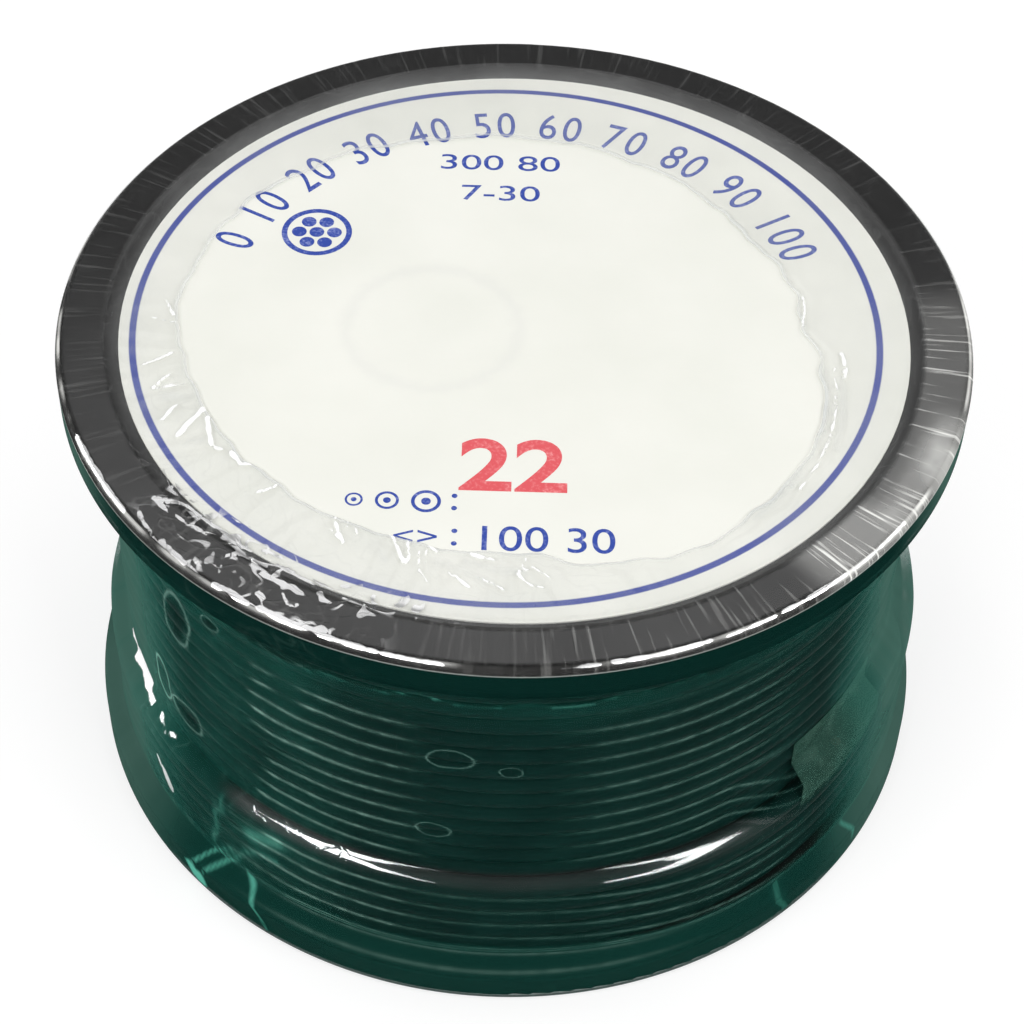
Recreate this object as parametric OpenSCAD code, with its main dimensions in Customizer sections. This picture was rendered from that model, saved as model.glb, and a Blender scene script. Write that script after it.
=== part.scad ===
// Small spool of stranded hook-up wire, sealed in a shrunk sleeve of clear film.
// Two alike flange mouldings push into the ends of a plain drum and meet in the middle
// as the arbor tube. The wire lies on the drum in nested layers. The last layer is only
// partly filled, and a patch of clear tape holds its end. A paper label covers the
// recess of the upper flange, and with it the upper mouth of the arbor and the start of
// the wire, which lies in a hole beside the drum.
// The part stands on the film under its lower rim: z = 0 there, +Z up the arbor.

/* [Wire] */
// Outer diameter of the insulated wire
wire_od = 1.6; // [1.3:0.1:2]
// Free space between neighbouring turns of one layer
turn_gap = 0.04; // [0.02:0.01:0.1]
// Free space between a turn and the layer or the drum under it
layer_gap = 0.02; // [0.01:0.01:0.06]
// Turns in a full layer
turns = 20; // [16:1:24]
// Turns in the last layer, which is only partly filled
last_turns = 5; // [4:1:9]
// Diameter of one copper strand
strand_d = 0.24; // [0.18:0.02:0.28]
// Bare length of the strands at a cut end
strand_len = 0.4; // [0.2:0.1:0.5]

/* [Drum] */
// Outer diameter of the drum
drum_od = 28; // [25:0.5:34]
// Wall of the drum
drum_wall = 1.8; // [1.4:0.1:2.4]
// Free length between each end of the drum and its flange
drum_end_gap = 0.05; // [0.02:0.01:0.1]

/* [Arbor] */
// Diameter of the arbor bore
arbor_d = 16; // [14:0.5:17]
// Wall of the arbor tube
arbor_wall = 1.6; // [1.2:0.1:1.9]
// Free length between the two halves of the arbor tube
arbor_joint_gap = 0.1; // [0.05:0.05:0.3]

/* [Flanges] */
// Thickness of a flange at its rim
flange_t = 2.7; // [2:0.1:4]
// How far the flanges stand out past the outermost turns
flange_lip = 1.5; // [0.8:0.1:4]
// Radius of the rim's edges
rim_round = 0.6; // [0.3:0.1:0.9]
// Width of the flat rim
rim_w = 3.25; // [2:0.05:5]
// Width of the slope from the rim down to the recess
slope_w = 0.9; // [0.5:0.1:2]
// Depth of the recess that takes the label
recess_depth = 0.6; // [0.4:0.1:1]
// Number of ribs that centre the drum
rib_count = 6; // [4:1:10]
// Thickness of a rib
rib_t = 1.2; // [0.8:0.1:2]
// Height of a rib above the flange
rib_h = 4; // [2:0.5:6]
// Free space between the ribs and the inside of the drum
rib_gap = 0.1; // [0.05:0.01:0.2]
// Free space round the wire in the hole for its start
start_hole_gap = 0.2; // [0.1:0.05:0.4]
// Direction in which the wire starts, and in which each turn steps over to the next
start_angle = 100; // [90:5:150]
// How far the wire's start lies below the recess, so that the label lies flat over it
start_inset = 0.5; // [0.5:0.1:1]

/* [Label] */
// Thickness of the paper label
label_t = 0.12; // [0.08:0.02:0.2]
// Free space between the label and the foot of the slope
label_gap = 0.15; // [0.05:0.05:0.5]

/* [Tape] */
// Thickness of the clear tape
tape_t = 0.06; // [0.04:0.01:0.08]
// Free space between the tape and the turns
tape_gap = 0.03; // [0.01:0.01:0.05]
// How far the tape reaches below the wire's end
tape_down = 5.2; // [3:0.1:6.5]
// How far the tape reaches above the wire's end
tape_up = 4; // [3:0.1:8]
// Direction of the middle of the tape
tape_angle = -35; // [-80:5:20]
// How far round the spool the tape reaches
tape_sweep = 20; // [12:1:40]

/* [Film] */
// Thickness of the shrunk film
film_t = 0.1; // [0.06:0.02:0.2]
// Free space between the film and the flanges
film_clear = 0.02; // [0.01:0.01:0.05]
// Free space between the film and the turns, which leaves room for the tape
film_gap = 0.15; // [0.15:0.01:0.3]
// How far the film is folded in over each flange, from its edge
fold_w = 9.8; // [6:0.2:12]
// How far below the upper flange the film comes to lie on the turns
film_drop = 3.8; // [2.5:0.1:8]

/* [Hidden] */
$fn = 96;
overrun = 1;            // how far a cutting shape runs past what it cuts
full_layers = 11;       // the layers below wire_layer_12
outer_strands = 6;      // strands round the middle one

// The winding: layers count from 0, and each lies in the grooves of the one below it.
wire_r = wire_od / 2;
drum_r = drum_od / 2;
pitch = wire_od + turn_gap;
traverse = turns * pitch;
layer_step = sqrt(pow(wire_od + layer_gap, 2) - pow(pitch / 2, 2));
function layer_r(k) = drum_r + layer_gap + wire_r + k * layer_step;
function grooved(k) = k % 2 == 1;
function turn_z(k, i) = inner_low + (i + (grooved(k) ? 1 : 0.5)) * pitch;
wound_r = layer_r(full_layers - 1) + wire_r;    // over the full layers
last_r = layer_r(full_layers) + wire_r;         // over the last layer

// Heights, from the surface that the spool stands on
rim_low = film_t + film_clear;
inner_low = rim_low + flange_t;
inner_high = inner_low + traverse;
rim_high = inner_high + flange_t;
middle_z = (inner_low + inner_high) / 2;

// The flanges
flange_r = last_r + flange_lip;
slope_top_r = flange_r - rim_w;
recess_r = slope_top_r - slope_w;
arbor_r = arbor_d / 2;
arbor_out_r = arbor_r + arbor_wall;
drum_in_r = drum_r - drum_wall;
arbor_half = middle_z - rim_low - arbor_joint_gap / 2;
start_hole_r = wire_r + start_hole_gap;
start_r = drum_r + start_hole_r;
start_end_z = rim_high - recess_depth - start_inset;
label_r = recess_r - label_gap;
label_low = rim_high - recess_depth;

// The end of the wire lies in the groove above the last full turn, under the tape.
finish_r = layer_r(full_layers);
finish_z = turn_z(full_layers, last_turns);
cut_angle = tape_angle;
finish_sweep = start_angle - cut_angle;
// A line at 45 degrees clears a turn when it starts this far past the turn's middle.
corner_rise = (sqrt(2) - 1) * wire_r;
first_last_z = turn_z(full_layers, 0);

// A path on the (radius, height) plane, and the same path moved to its left by t
function unit(v) = v / norm(v);
function left_of(a, b) = let (u = unit(b - a)) [-u[1], u[0]];
function moved(path, t) = [for (i = [0 : len(path) - 1])
    let (
        before = i > 0 ? left_of(path[i - 1], path[i]) : left_of(path[0], path[1]),
        after = i < len(path) - 1 ? left_of(path[i], path[i + 1]) : before,
        mitre = unit(before + after)
    )
    path[i] + mitre * t / (mitre * before)];
function reversed(path) = [for (i = [len(path) - 1 : -1 : 0]) path[i]];

// The step from the full layers down to the last layer, kept gap clear of both
function step_path(gap) = [
    [wound_r + gap, finish_z + corner_rise + last_r - wound_r],
    [last_r + gap, finish_z + corner_rise]
];

// A closed sheet of thickness t, turned about Z from the path of its inner face
module turned_sheet(path, t, sweep) {
    rotate_extrude(angle = sweep)
        polygon(concat(path, reversed(moved(path, t))));
}

// One flange moulding: its outer face at z = 0, its arbor half along +Z
module flange_moulding() {
    difference() {
        union() {
            rotate_extrude() {
                square([flange_r - rim_round, flange_t]);
                translate([0, rim_round])
                    square([flange_r, flange_t - 2 * rim_round]);
                for (edge_z = [rim_round, flange_t - rim_round])
                    translate([flange_r - rim_round, edge_z])
                        circle(r = rim_round);
            }
            cylinder(r = arbor_out_r, h = arbor_half);
            for (i = [0 : rib_count - 1])
                rotate([0, 0, i * 360 / rib_count])
                    translate([arbor_r + arbor_wall / 2, -rib_t / 2, 0])
                        cube([drum_in_r - rib_gap - arbor_r - arbor_wall / 2,
                            rib_t, flange_t + rib_h]);
        }
        // Recess with its sloped edge
        rotate_extrude()
            polygon([[0, -overrun], [slope_top_r, -overrun], [slope_top_r, 0],
                [recess_r, recess_depth], [0, recess_depth]]);
        // Arbor bore
        translate([0, 0, -overrun])
            cylinder(r = arbor_r, h = arbor_half + 2 * overrun);
        // Hole beside the drum for the start of the wire
        rotate([0, 0, start_angle])
            translate([start_r, 0, -overrun])
                cylinder(r = start_hole_r, h = flange_t + 2 * overrun);
    }
}

module lower_flange() {
    color([0.16, 0.17, 0.17])
        translate([0, 0, rim_low])
            flange_moulding();
}

// The same moulding turned over, so its start hole stays on the same side
module upper_flange() {
    color([0.16, 0.17, 0.17])
        translate([0, 0, rim_high])
            mirror([0, 0, 1])
                flange_moulding();
}

module drum() {
    color([0.2, 0.21, 0.21])
        translate([0, 0, inner_low + drum_end_gap])
            difference() {
                cylinder(r = drum_r, h = traverse - 2 * drum_end_gap);
                translate([0, 0, -overrun])
                    cylinder(r = drum_in_r, h = traverse + 2 * overrun);
            }
}

module label() {
    color([0.97, 0.98, 0.98])
        translate([0, 0, label_low])
            cylinder(r = label_r, h = label_t);
}

// A full or partly filled layer of the winding, turn by turn
module wire_layer(k, count) {
    color([0.03, 0.2, 0.16])
        for (i = [0 : count - 1])
            rotate_extrude()
                translate([layer_r(k), turn_z(k, i)])
                    circle(r = wire_r, $fn = 32);
}

module full_layer(number) {
    wire_layer(number - 1, grooved(number - 1) ? turns - 1 : turns);
}

// The start of the wire goes up from the first turn into the upper flange.
module wire_start_end() {
    color([0.03, 0.2, 0.16])
        rotate([0, 0, start_angle])
            translate([start_r, 0, inner_high])
                cylinder(r = wire_r, h = start_end_z - inner_high, $fn = 32);
}

// The last stretch of the wire, from where it leaves the last full turn to its cut
module wire_finish_end() {
    color([0.03, 0.2, 0.16])
        rotate([0, 0, cut_angle])
            rotate_extrude(angle = finish_sweep)
                translate([finish_r, finish_z])
                    circle(r = wire_r, $fn = 32);
}

// The bare strands of the conductor: one in the middle and a ring round it, up +Z
module strands() {
    cylinder(d = strand_d, h = strand_len, $fn = 16);
    for (i = [0 : outer_strands - 1])
        rotate([0, 0, i * 360 / outer_strands])
            translate([strand_d + layer_gap, 0, 0])
                cylinder(d = strand_d, h = strand_len, $fn = 16);
}

module start_strands() {
    color([0.8, 0.45, 0.28])
        rotate([0, 0, start_angle])
            translate([start_r, 0, start_end_z])
                strands();
}

module finish_strands() {
    color([0.8, 0.45, 0.28])
        rotate([0, 0, cut_angle])
            translate([finish_r, 0, finish_z])
                rotate([90, 0, 0])
                    strands();
}

module hold_down_tape() {
    tape_path = concat(
        [[wound_r + tape_gap, finish_z + tape_up]],
        step_path(tape_gap),
        [[last_r + tape_gap, finish_z - tape_down]]
    );
    color([0.85, 0.87, 0.8, 0.5])
        rotate([0, 0, tape_angle - tape_sweep / 2])
            turned_sheet(tape_path, tape_t, tape_sweep);
}

module shrink_film() {
    over_r = flange_r + film_clear;
    fold_r = flange_r - fold_w;
    film_path = concat(
        [
            [fold_r, label_low + label_t + film_clear],
            [recess_r, label_low + label_t + film_clear],
            [slope_top_r, rim_high + film_clear],
            [over_r, rim_high + film_clear],
            [over_r, inner_high],
            [wound_r + film_gap, inner_high - film_drop]
        ],
        step_path(film_gap),
        [
            [last_r + film_gap, first_last_z - corner_rise],
            [over_r, inner_low],
            [over_r, rim_low - film_clear],
            [slope_top_r, rim_low - film_clear],
            [recess_r, rim_low + recess_depth - film_clear],
            [fold_r, rim_low + recess_depth - film_clear]
        ]
    );
    color([0.8, 0.9, 0.85, 0.3])
        turned_sheet(film_path, film_t, 360);
}

upper_flange();
lower_flange();
drum();
label();
full_layer(1);  // wire_layer_01
full_layer(2);  // wire_layer_02
full_layer(3);  // wire_layer_03
full_layer(4);  // wire_layer_04
full_layer(5);  // wire_layer_05
full_layer(6);  // wire_layer_06
full_layer(7);  // wire_layer_07
full_layer(8);  // wire_layer_08
full_layer(9);  // wire_layer_09
full_layer(10);  // wire_layer_10
full_layer(11);  // wire_layer_11
wire_layer(full_layers, last_turns);  // wire_layer_12
wire_start_end();
wire_finish_end();
start_strands();
finish_strands();
hold_down_tape();
shrink_film();
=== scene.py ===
"""A small spool of stranded hook-up wire, sealed in a shrunk sleeve of clear film.

Pieces are shaped in millimetres and scaled to metres when they are finished. z = 0 is
the surface that the spool stands on, and +Z goes up the arbor. Directions round the
spool are in degrees from +X, and the front of the spool is at -90.
"""
import math

import bmesh
import bpy
from mathutils import Matrix, Vector, noise


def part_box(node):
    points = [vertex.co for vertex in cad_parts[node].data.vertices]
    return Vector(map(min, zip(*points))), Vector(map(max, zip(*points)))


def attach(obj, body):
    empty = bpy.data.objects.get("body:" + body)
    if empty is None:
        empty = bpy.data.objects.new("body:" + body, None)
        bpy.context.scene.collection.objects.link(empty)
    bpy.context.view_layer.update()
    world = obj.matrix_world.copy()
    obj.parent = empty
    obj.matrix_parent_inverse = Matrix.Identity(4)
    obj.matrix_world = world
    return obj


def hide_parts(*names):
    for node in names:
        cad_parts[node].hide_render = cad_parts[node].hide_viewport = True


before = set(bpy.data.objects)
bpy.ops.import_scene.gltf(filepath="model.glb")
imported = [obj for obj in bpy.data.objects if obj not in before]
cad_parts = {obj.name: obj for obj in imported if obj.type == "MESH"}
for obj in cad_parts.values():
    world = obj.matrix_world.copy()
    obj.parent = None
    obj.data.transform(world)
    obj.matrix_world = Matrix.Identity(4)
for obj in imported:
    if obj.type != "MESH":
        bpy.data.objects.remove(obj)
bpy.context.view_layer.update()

MM = 0.001


# --- What the frame says, in millimetres ---

BOXES = {node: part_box(node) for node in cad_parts}


def reach(node):
    """How far a turned node reaches from the arbor's axis, on its shortest side."""
    low, high = BOXES[node]
    return min(high.x, high.y, -low.x, -low.y) / MM


def lowest(node):
    return BOXES[node][0].z / MM


def highest(node):
    return BOXES[node][1].z / MM


FULL_LAYERS = 11
FULL_TURNS = 20
LAST_TURNS = 5
FULL_LAYER = f"wire_layer_{FULL_LAYERS:02d}"
LAST_LAYER = f"wire_layer_{FULL_LAYERS + 1:02d}"

full_height = highest(FULL_LAYER) - lowest(FULL_LAYER)
last_height = highest(LAST_LAYER) - lowest(LAST_LAYER)
pitch = (full_height - last_height) / (FULL_TURNS - LAST_TURNS)
wire_od = last_height - (LAST_TURNS - 1) * pitch
wire_r = wire_od / 2
wound_r = reach(FULL_LAYER)
last_r = reach(LAST_LAYER)
inner_low = lowest(FULL_LAYER) - (pitch - wire_od) / 2
inner_high = inner_low + FULL_TURNS * pitch
first_last_z = lowest(LAST_LAYER) + wire_r
finish_z = first_last_z + LAST_TURNS * pitch

rim_low = lowest("lower_flange")
label_high = highest("label")
label_r = reach("label")
film_r = reach("shrink_film")
film_high = highest("shrink_film")

FILM_T = 0.1            # thickness of the film
FILM_CLEAR = 0.02       # free space between the film and what it covers
RIM_W = 3.25            # width of a flange's flat rim
SLOPE_W = 0.9           # width of the slope from the rim down to the recess
RECESS = 0.6            # depth of a flange's recess, below its rim
LOW_OPENING_R = 22.9    # reach of the film's opening below the lower flange
START_ANGLE = 100       # where each turn steps over to the next
CUT_ANGLE = -35         # where the wire ends
slope_top_r = reach("upper_flange") - RIM_W


# --- Camera, lamps and floor ---

CAMERA_ELEVATION = 47.26
CAMERA_ROLL = -1.6
CAMERA_DISTANCE = 178.4         # from the middle of the top face
CAMERA_LENS = 87.9
IMAGE_SIDE = 1024
FACE_IN_IMAGE = (515.4, 315.6)  # where the middle of the top face is seen
SENSOR = 36


def new_object(name, data):
    made = bpy.data.objects.new(name, data)
    bpy.context.scene.collection.objects.link(made)
    return made


def add_camera():
    tilt = math.radians(CAMERA_ELEVATION)
    roll = math.radians(CAMERA_ROLL)
    back = Vector((0, -math.cos(tilt), math.sin(tilt)))
    level_up = Vector((0, math.sin(tilt), math.cos(tilt)))
    level_right = Vector((1, 0, 0))
    right = level_right * math.cos(roll) - level_up * math.sin(roll)
    up = level_right * math.sin(roll) + level_up * math.cos(roll)

    per_pixel = CAMERA_DISTANCE * SENSOR / CAMERA_LENS / IMAGE_SIDE
    off_right = (FACE_IN_IMAGE[0] - IMAGE_SIDE / 2) * per_pixel
    off_up = (IMAGE_SIDE / 2 - FACE_IN_IMAGE[1]) * per_pixel
    place = Vector((0, 0, film_high)) + back * CAMERA_DISTANCE
    place -= right * off_right + up * off_up

    camera = new_object("camera", bpy.data.cameras.new("camera"))
    camera.data.lens = CAMERA_LENS
    camera.data.sensor_width = SENSOR
    camera.data.clip_start = 0.01
    camera.matrix_world = (
        Matrix.Translation(place * MM) @ Matrix((right, up, back)).transposed().to_4x4()
    )
    bpy.context.scene.camera = camera


def toward(azimuth, elevation):
    """The direction, as a unit vector, at an azimuth and elevation in degrees."""
    turn, tilt = math.radians(azimuth), math.radians(elevation)
    return Vector((
        math.cos(tilt) * math.cos(turn), math.cos(tilt) * math.sin(turn), math.sin(tilt)
    ))


LAMP_DISTANCE = 0.6     # metres
AIM_HEIGHT = 0.02       # metres, of the point that the lamps face
LAMPS = (       # name, azimuth, elevation, width and height in metres, and radiance
    ("left_front_strip", -133, 39, 0.46, 0.034, 34),
    ("right_front_strip", -38, 38, 0.46, 0.032, 34),
    ("left_back_strip", 152, 26, 0.55, 0.05, 10),
    ("right_back_strip", 28, 26, 0.55, 0.05, 10),
)


def add_lamp(name, azimuth, elevation, width, height, radiance):
    """A strip softbox that faces the middle of the spool."""
    lamp = bpy.data.lights.new(name, "AREA")
    lamp.shape = "RECTANGLE"
    lamp.size, lamp.size_y = width, height
    lamp.energy = radiance * math.pi * width * height
    direction = toward(azimuth, elevation)
    holder = new_object(name, lamp)
    holder.location = direction * LAMP_DISTANCE + Vector((0, 0, AIM_HEIGHT))
    holder.rotation_euler = (-direction).to_track_quat("-Z", "Y").to_euler()


# --- Shader maths ---

class Amount:
    """A socket of a node tree, on which arithmetic adds Math nodes."""

    def __init__(self, nodes, socket):
        self.nodes, self.socket = nodes, socket

    def maths(self, operation, *values):
        return self.nodes.node(
            "ShaderNodeMath", {"operation": operation}, dict(enumerate(values))
        )

    def __add__(self, other):
        return self.maths("ADD", self, other)

    def __sub__(self, other):
        return self.maths("SUBTRACT", self, other)

    def __rsub__(self, other):
        return self.maths("SUBTRACT", other, self)

    def __mul__(self, other):
        return self.maths("MULTIPLY", self, other)

    def __truediv__(self, other):
        return self.maths("DIVIDE", self, other)

    def __pow__(self, other):
        return self.maths("POWER", self, other)

    __radd__ = __add__
    __rmul__ = __mul__

    def most(self, other):
        return self.maths("MAXIMUM", self, other)

    def least(self, other):
        return self.maths("MINIMUM", self, other)

    def size(self):
        return self.maths("ABSOLUTE", self)

    def fraction(self):
        return self.maths("FRACT", self)

    def rise(self, start, end):
        """0 at start, 1 at end, and smooth between them."""
        return self.nodes.node(
            "ShaderNodeMapRange", {"interpolation_type": "SMOOTHSTEP"},
            {"Value": self, "From Min": start, "From Max": end},
        )

    def bell(self, width):
        """1 where this is 0, falling to nothing a few widths away."""
        share = self / width
        return self.maths("EXPONENT", 0 - share * share)


class Nodes:
    """Adds nodes to one node tree."""

    def __init__(self, tree):
        self.tree = tree
        tree.nodes.clear()

    def node(self, kind, settings=None, inputs=None, output=0):
        made = self.tree.nodes.new(kind)
        for name, value in (settings or {}).items():
            setattr(made, name, value)
        for name, value in (inputs or {}).items():
            if isinstance(value, Amount):
                self.tree.links.new(value.socket, made.inputs[name])
            else:
                made.inputs[name].default_value = value
        return Amount(self, made.outputs[output]) if made.outputs else None

    def mix(self, share, first, second):
        """From the first colour at 0 to the second at 1."""
        return self.node(
            "ShaderNodeMix", {"data_type": "RGBA"}, {0: share, 6: first, 7: second}, 2
        )

    def laid_over(self, tint, layers):
        """A tint with colours laid over it in turn: ((share, colour), ...)."""
        for share, colour in layers:
            tint = self.mix(share, tint, colour)
        return tint

    def vector(self, operation, first, second=None, output=0):
        inputs = {0: first} if second is None else {0: first, 1: second}
        return self.node("ShaderNodeVectorMath", {"operation": operation}, inputs, output)

    def noise(self, place, scale, detail=2.0, distortion=0.0):
        """Smooth noise with a middle of 0, with about `scale` features per unit."""
        return self.node("ShaderNodeTexNoise", {}, {
            "Vector": place, "Scale": scale, "Detail": detail, "Distortion": distortion,
        }) - 0.5


def grey(value):
    return (value, value, value, 1)


class Finish(Nodes):
    """A procedural material, in millimetres on the finished pieces."""

    def __init__(self, name):
        self.material = bpy.data.materials.new(name)
        self.material.use_nodes = True
        super().__init__(self.material.node_tree)
        here = self.node("ShaderNodeTexCoord", output="Object")
        self.place = self.vector("MULTIPLY", here, (1 / MM,) * 3)
        self.outward = self.vector(
            "NORMALIZE", self.vector("MULTIPLY", self.place, (1, 1, 0))
        )
        self.radius = self.vector(
            "LENGTH", self.vector("MULTIPLY", self.place, (1, 1, 0)), output="Value"
        )
        self.height = self.node("ShaderNodeSeparateXYZ", {}, {0: self.place}, "Z")

    def attribute(self, name):
        return self.node("ShaderNodeAttribute", {"attribute_name": name}, output="Fac")

    def mottle(self, scale, detail=2.0, distortion=0.0):
        """Noise that runs alike in every direction, with so many features per mm."""
        return self.noise(self.place, scale, detail, distortion)

    def wall(self, around, along, up=0.0):
        """A seamless place on a round wall: directions stretched to `around`, the
        radius to `along` and the height to `up`."""
        spread = self.vector("MULTIPLY", self.outward, (around,) * 3)
        axis = self.node("ShaderNodeCombineXYZ", {}, {
            "X": 0.0, "Y": 0.0, "Z": self.radius * along + self.height * up,
        })
        return self.vector("ADD", spread, axis)

    def facing(self, azimuth):
        """The cosine of the angle between a point's direction and the azimuth."""
        return self.vector(
            "DOT_PRODUCT", self.outward, toward(azimuth, 0)[:], output="Value"
        )

    def sector(self, azimuth, half, soft=8):
        """1 within `half` degrees of the azimuth, fading over `soft` degrees."""
        return self.facing(azimuth).rise(
            math.cos(math.radians(half + soft)), math.cos(math.radians(half))
        )

    def bump(self, height, strength=1.0):
        """A normal from a height in millimetres."""
        return self.node("ShaderNodeBump", {}, {
            "Strength": strength, "Distance": MM, "Height": height,
        })

    def shade(self, inputs):
        """Ends the material in one shader with these inputs."""
        surface = self.node("ShaderNodeBsdfPrincipled", {}, inputs)
        self.node("ShaderNodeOutputMaterial", {}, {"Surface": surface})
        return self.material


# --- World and floor ---

ROOM_LIGHT = 0.2            # of the walls of the room
BRIGHT = 1.0                # of its horizon and of the ceiling behind the spool
HORIZON_END = (0.2, 0.34)   # heights, as sines, where the horizon fades out
CEILING = (90, 75)          # direction of the bright part of the ceiling
CEILING_HALF = (37, 26)     # half its angle, outside and inside its soft edge
FLOOR_R = 3.0               # metres
FLOOR_WHITE = 0.8           # the floor as it lights the spool
FLOOR_SEEN = 0.42           # the floor as it is seen, which the glow makes up to white
FLOOR_GLOW = (0.62, 0.92)   # near the spool and far from it
GLOW_FROM, GLOW_TO = 150, 900


def light_room():
    """A plain room: a white horizon, dim walls and a bright ceiling behind the spool."""
    world = bpy.data.worlds.new("room")
    world.use_nodes = True
    bpy.context.scene.world = world
    nodes = Nodes(world.node_tree)
    direction = nodes.node("ShaderNodeTexCoord", output="Generated")
    up = nodes.node("ShaderNodeSeparateXYZ", {}, {0: direction}, "Z")
    overhead = nodes.vector("DOT_PRODUCT", direction, toward(*CEILING)[:], output="Value")
    horizon = 1 - up.rise(*HORIZON_END)
    ceiling = overhead.rise(*(math.cos(math.radians(half)) for half in CEILING_HALF))
    strength = ROOM_LIGHT + (BRIGHT - ROOM_LIGHT) * horizon.most(ceiling)
    light = nodes.node("ShaderNodeBackground", {}, {"Color": grey(1), "Strength": strength})
    nodes.node("ShaderNodeOutputWorld", {}, {"Surface": light})


def lay_floor():
    """A pale floor that looks white where it is open and keeps the spool's shadow."""
    finish = Finish("pale_floor")
    rays = [
        finish.node("ShaderNodeLightPath", output=f"Is {kind} Ray")
        for kind in ("Camera", "Glossy", "Transmission")
    ]
    seen = rays[0].most(rays[1]).most(rays[2])
    near, far = FLOOR_GLOW
    glow = near + (far - near) * finish.radius.rise(GLOW_FROM, GLOW_TO)
    plain = finish.node("ShaderNodeBsdfDiffuse", {}, {"Color": grey(FLOOR_WHITE)})
    dimmed = finish.node("ShaderNodeBsdfDiffuse", {}, {"Color": grey(FLOOR_SEEN)})
    light = finish.node("ShaderNodeEmission", {}, {"Color": grey(1), "Strength": glow})
    white = finish.node("ShaderNodeAddShader", {}, {0: dimmed, 1: light})
    surface = finish.node("ShaderNodeMixShader", {}, {0: seen, 1: plain, 2: white})
    finish.node("ShaderNodeOutputMaterial", {}, {"Surface": surface})

    bm = bmesh.new()
    bmesh.ops.create_circle(bm, cap_ends=True, segments=96, radius=FLOOR_R)
    mesh = bpy.data.meshes.new("floor")
    bm.to_mesh(mesh)
    bm.free()
    mesh.materials.append(finish.material)
    floor = new_object("floor", mesh)


# --- Finishes ---

BLUE_INK = (0.03, 0.065, 0.34, 1)
RING_INK = (0.010, 0.035, 0.30, 1)      # the ring lies under the milky film
RED_INK = (0.69, 0.10, 0.115, 1)
MILKY_GREEN = (0.02, 0.17, 0.13, 1)
# Paler green of the film seen edge-on, partly painted sheen
EDGE_SHEEN_GREEN = (0.05, 0.108, 0.088, 1)
DEEP_GREEN = (0.0015, 0.019, 0.015, 1)
# Painted shade: the film over the lower flange is darker, where the floor lights it more
LOW_SHADED_GREEN = (0.0005, 0.0075, 0.006, 1)
MINT = (0.10, 0.42, 0.32, 1)
# A pale tint painted on the crests of the turns as highlights
CREST_HIGHLIGHT_TINT = (0.33, 0.55, 0.47, 1)
MILKY_GREY = (0.64, 0.66, 0.65, 1)
# Pale streaks on the rim, and the painted glow of light on it
RIM_STREAK_AND_GLOW_WHITE = (0.80, 0.80, 0.77, 1)


def flange_finish():
    """Black moulded plastic, satin, with fine turning marks and pale handling dust."""
    finish = Finish("black_moulded_plastic")
    grain = finish.mottle(9, 3)
    marks = finish.noise(finish.wall(4, 9), 1.4, 2)
    cloud = finish.mottle(0.16, 3)
    dust = (finish.mottle(1.7, 4) + cloud * 0.8).rise(0.16, 0.5)
    return finish.shade({
        "Base Color": finish.mix(dust * 0.5, grey(0.010), (0.026, 0.029, 0.028, 1)),
        "Roughness": 0.42 + cloud * 0.25 + grain * 0.1,
        "Specular IOR Level": 0.05,
        "Normal": finish.bump(grain * 0.0004 + marks * 0.001),
    })


def drum_finish():
    """The drum's plainer black plastic, a little paler and with lengthwise draw marks."""
    finish = Finish("black_drum_plastic")
    draw = finish.noise(finish.wall(18, 0, 0.06), 1.2, 3)
    cloud = finish.mottle(0.25, 2)
    return finish.shade({
        "Base Color": finish.mix(0.5 + cloud, grey(0.018), grey(0.03)),
        "Roughness": 0.5 + draw * 0.2,
        "Specular IOR Level": 0.3,
        "Normal": finish.bump(draw * 0.02),
    })


def wire_finish():
    """Deep green PVC with a soft gloss, faint die lines and slight unevenness."""
    finish = Finish("green_pvc")
    cloud = finish.mottle(0.22, 3)
    along = finish.noise(finish.wall(5, 10, 10), 0.8, 2)
    skin = finish.mottle(5, 2)
    shade = 0.5 + cloud * 1.2 + along * 0.5
    return finish.shade({
        "Base Color": finish.mix(shade, (0.0008, 0.0095, 0.0078, 1), (0.0022, 0.019, 0.0155, 1)),
        "Roughness": 0.42 + skin * 0.1,
        "Specular IOR Level": 0.02,
        "Normal": finish.bump(along * 0.0015 + skin * 0.001),
    })


def strand_finish():
    """Drawn copper with fine die lines and a browner tarnish in patches."""
    finish = Finish("drawn_copper")
    tarnish = finish.mottle(4, 3).rise(-0.1, 0.3)
    lines = finish.mottle(30, 2)
    return finish.shade({
        "Base Color": finish.mix(tarnish, (0.85, 0.42, 0.24, 1), (0.55, 0.24, 0.12, 1)),
        "Metallic": 1.0,
        "Roughness": 0.46 + tarnish * 0.15,
        "Normal": finish.bump(lines * 0.002),
    })


RING_R = 26.6
RING_MIDDLE = (-0.6, -0.1, 0)
RING_W = 0.48
STAIN_R = 6.2
STAIN_MIDDLE = (-5.9, -0.8, 0)


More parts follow.
